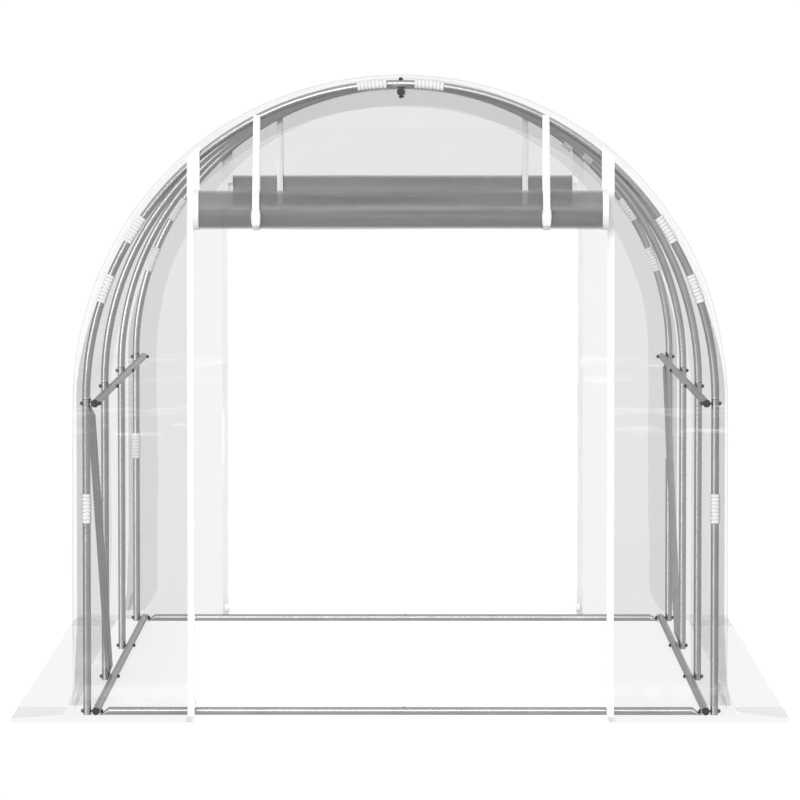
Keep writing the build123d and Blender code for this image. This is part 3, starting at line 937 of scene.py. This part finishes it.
def strap_path():
    """The belt's middle line in the plane across the roll, out from the gable and up."""
    span = hypot(roll_y - top_y, roll_axis_z - top_z)
    lean = atan2(top_z - roll_axis_z, top_y - roll_y)
    spread = acos((strap_radius - top_radius) / span)
    first, last = lean + spread, lean + 2 * pi - spread

    def arc(y, z, radius, start, stop, steps):
        angles = [start + (stop - start) * i / steps for i in range(steps + 1)]
        return [(y + radius * cos(angle), z + radius * sin(angle)) for angle in angles]

    def straight(start, stop):
        return [tuple(a + (b - a) * (i / 14) for a, b in zip(start, stop)) for i in range(1, 14)]

    under = arc(roll_y, roll_axis_z, strap_radius, first, last, 48)
    over = arc(top_y, top_z, top_radius, last, first + 2 * pi, 8)
    return under + straight(under[-1], over[0]) + over + straight(over[-1], under[0])


belt_line = strap_path()


def strap_surface(sign, x):
    """A flat belt carried round that line."""
    count = len(belt_line)
    rows = []
    for i in range(count + 1):
        y, z = belt_line[i % count]
        ahead, behind = belt_line[(i + 1) % count], belt_line[i - 1]
        along = Vector((ahead[0] - behind[0], ahead[1] - behind[1])).normalized()
        out = Vector((along.y, -along.x)) * strap_thick / 2
        row = []
        for across, deep in ((-1, -0.4), (-0.96, -1), (0, -1), (0.96, -1), (1, -0.4),
                             (1, 0.4), (0.96, 1), (0, 1), (-0.96, 1), (-1, 0.4)):
            row.append((x + across * strap_half, sign * (y + deep * out.x), z + deep * out.y))
        rows.append(row)
    return surface(rows, True)


for end, sign in ends:
    for hand, x in zip(("left", "right"), strap_places[end]):
        name, belt = end + "_roll_strap_" + hand, [strap_surface(sign, x)]
        strap = make_piece(name, belt, white_webbing, corner=60)
        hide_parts(end + "_roll_straps")

# ---- Buckles on the straps ----
# Side-release buckles in white acetal: a flat housing with a window at each side, where the
# two sprung prongs of the other half show, and a bar at each end that the webbing goes round.
# Acetal is denser and whiter than the clips' polypropylene, with a tighter gloss.
white_acetal = moulded("white_moulded_acetal", 12, ("#F8F8F8", "#FFFFFF"), 0.1, 0.0004, {
    "Roughness": 0.28, "IOR": 1.48,
})

buckle_low, buckle_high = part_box("front_strap_buckles")
buckle_tilt = radians(22)
buckle_widen = 1.09
buckle_y = abs(buckle_low.y + buckle_high.y) / 2 + 0.006
buckle_z = (buckle_low.z + buckle_high.z) / 2 + 0.0055


def slab(outline, low, high):
    """A flat moulding from its outline, with a small bevel round both faces."""
    inset = 0.0007
    centre = Vector((sum(p[0] for p in outline), sum(p[1] for p in outline))) / len(outline)

    def shrunk(point, by):
        out = Vector(point) - centre
        return tuple(centre + out * (1 - by / max(out.length, 0.004)))

    rows = []
    for depth, by in ((low, inset), (low + inset, 0), (high - inset, 0), (high, inset)):
        rows.append([(*shrunk(point, by), depth) for point in outline])
    return surface(rows, True, True)


def mirrored(points):
    """An outline's right half and its mirror image, as one loop."""
    return points + [(-x, y) for x, y in reversed(points)]


housing = mirrored(
    [(0.0090, -0.022), (0.0122, -0.019), (0.0128, -0.010), (0.0100, -0.0085), (0.0100, 0.0035),
     (0.0130, 0.0055), (0.0132, 0.011), (0.0125, 0.0140), (0.0050, 0.0155)]
)
prong = [(0.0102, -0.0080), (0.0128, -0.0070), (0.0134, -0.001), (0.0126, 0.0048), (0.0102, 0.0040)]
stem = mirrored([(0.0046, 0.0150), (0.0118, 0.0162), (0.0126, 0.0240), (0.0110, 0.0256)])
guide = mirrored([(0.0018, -0.018), (0.0018, 0.012)])
lower_bar = mirrored([(0.0100, -0.0256), (0.0116, -0.0248), (0.0116, -0.0226), (0.0100, -0.0218)])


def buckle_surfaces(sign, x):
    """The two halves, turned to lie on the roll below its foremost line."""
    local = [slab(housing, -0.0042, 0.0042), slab(stem, -0.0030, 0.0030)]
    local += [slab(prong, -0.0032, 0.0032), slab([(-a, b) for a, b in prong], -0.0032, 0.0032)]
    local += [slab(guide, 0.0040, 0.0047), slab(lower_bar, -0.0028, 0.0028)]
    made = []
    for points, faces in local:
        placed = []
        for u, v, w in points:
            y = buckle_y + w * cos(buckle_tilt) + v * sin(buckle_tilt)
            z = buckle_z - w * sin(buckle_tilt) + v * cos(buckle_tilt)
            placed.append((x + buckle_widen * u, sign * y, z))
        made.append((placed, faces))
    return made


for end, sign in ends:
    both = [half for x in strap_places[end] for half in buckle_surfaces(sign, x)]
    buckles = make_piece(end + "_release_buckles", both, white_acetal, corner=35)
    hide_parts(end + "_strap_buckles")

# ---- Film ties on the third and rear hoops ----
# Strips of the cover's film welded into loops at the right shoulder, which tie the roof to the
# hoops. Welded layers lie together there, so they look milky.
milky_film = moulded("welded_film_strip", 18, ("#C4C4C4", "#E2E2E2"), 0.4, 0.002, {
    "Roughness": 0.3, "IOR": 1.51, "Alpha": 0.8,
})
tie_radius = 0.0178
tie_width = 0.040
tie_gap = 0.0008
tie_drop = tie_radius - tube_radius - tie_gap


def tie_surface(hoop, rise):
    """A loose loop round the tube, hanging from its outer side."""
    rows = []
    for i in range(9):
        angle = radians(rise) + (i / 8 - 0.5) * tie_width / arch_radius
        centre, outward, across = arch_frame(hoop_y(hoop))(angle)
        centre = centre - tie_drop * outward
        row = []
        for j in range(29):
            turn = 2 * pi * j / 28
            waver = sway(i * 0.1, cos(turn), sin(turn) + rise, 0.7, 0.0009)
            r = tie_radius + waver * sin(turn) ** 2
            row.append(centre + r * (cos(turn) * outward + sin(turn) * across))
        rows.append(row)
    return surface(rows)


for hoop, rise in (("third", 48.3), ("rear", 51.4)):
    tie = make_piece(hoop + "_film_tie", [tie_surface(hoop, rise)], milky_film)
    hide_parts("film_ties")

# ---- Studio: pale floor, white surround and large soft lamps ----
# The tunnel stands on a matt white floor that runs to the horizon. The main soft lamps stand
# low at the front left and just over the camera; three weak ones fill the shoulders and back.
ground = bpy.data.meshes.new("studio_floor")
far = 300.0
corners = [(-far, -far, 0), (far, -far, 0), (far, far, 0), (-far, far, 0)]
ground.from_pydata(corners, [], [(0, 1, 2, 3)])
floor = bpy.data.objects.new("studio_floor", ground)
scene.collection.objects.link(floor)
floor_paint, tree, place = new_material("matt_white_floor_paint")
floor_cloud = add(tree, "TexNoise", {"Vector": place, "Scale": 0.8, "Detail": 2.0})
floor_tone = add(tree, "ValToRGB", {"Fac": floor_cloud})
set_stops(floor_tone, (0, "#E6E6E6"), (1, "#E9E9E9"))
matt = add(tree, "BsdfDiffuse", {"Color": floor_tone, "Roughness": 0.5})
floor_glow, glow_share = 1.14, 0.78  # how brightly it glows to the eye, and for what share
glow = add(tree, "Emission", {"Color": linear("#FFFFFF"), "Strength": floor_glow})


def seen_by_eye(tree):
    """1 for what the camera sees straight, in a gloss or through film, else 0."""
    path = add(tree, "LightPath")
    either = add(
        tree, "Math", {0: path.outputs["Is Camera Ray"], 1: path.outputs["Is Glossy Ray"]},
        operation="MAXIMUM",
    )
    return add(
        tree, "Math", {0: either, 1: path.outputs["Is Transmission Ray"]}, operation="MAXIMUM",
    )


white_share = add(tree, "Math", {0: seen_by_eye(tree), 1: glow_share}, operation="MULTIPLY")
finish_material(tree, "MixShader", {0: white_share, 1: matt, 2: glow})
ground.materials.append(floor_paint)

fill, white = 0.46, 1.08  # the surround's strength on the tunnel, and to the eye
surround = bpy.data.worlds.new("studio_surround")
surround.use_nodes = True
surround.node_tree.nodes.clear()
tree = surround.node_tree
level = add(tree, "MapRange", {"Value": seen_by_eye(tree), "To Min": fill, "To Max": white})
sky = add(tree, "Background", {"Color": linear("#FFFFFF"), "Strength": level})
add(tree, "OutputWorld", {"Surface": sky})
scene.world = surround

lamps = {
    "left_softbox": ((-0.62, -0.78, 0.12), 1.15, 19),
    "upper_left_softbox": ((-0.6, -0.7, 0.39), 0.3, 60),
    "front_softbox": ((-0.1, -0.93, 0.34), 0.85, 21),
    "upper_right_softbox": ((0.45, -0.75, 0.48), 0.25, 40),
    "back_softbox": ((0.35, 0.78, 0.52), 0.3, 60),
}
for name, (towards, strength, angle) in lamps.items():
    light = bpy.data.lights.new(name, "SUN")
    light.energy = strength
    light.angle = radians(angle)
    lamp = bpy.data.objects.new(name, light)
    lamp.rotation_mode = "QUATERNION"
    lamp.rotation_quaternion = Vector(towards).to_track_quat("Z", "Y")
    scene.collection.objects.link(lamp)

# ---- Camera: far back on the tunnel's centre line ----
# A long lens on a stand just under the tunnel's own height, tipped a little downwards, so that
# the four hoops show one inside the other.
lens = bpy.data.cameras.new("camera")
lens.sensor_width = 36.0
lens.lens = 235.93
lens.clip_start, lens.clip_end = 0.5, 800.0
camera = bpy.data.objects.new("camera", lens)
camera.location = (0.0393, -17.960, 1.9522)
camera.rotation_euler = (radians(90 - 3.3215), 0, radians(0.1446))
scene.collection.objects.link(camera)
scene.camera = camera

scene.view_settings.view_transform = "Standard"
# light has to pass up to two dozen layers of film, roll and all
scene.cycles.transparent_max_bounces = 32

bpy.context.view_layer.update()
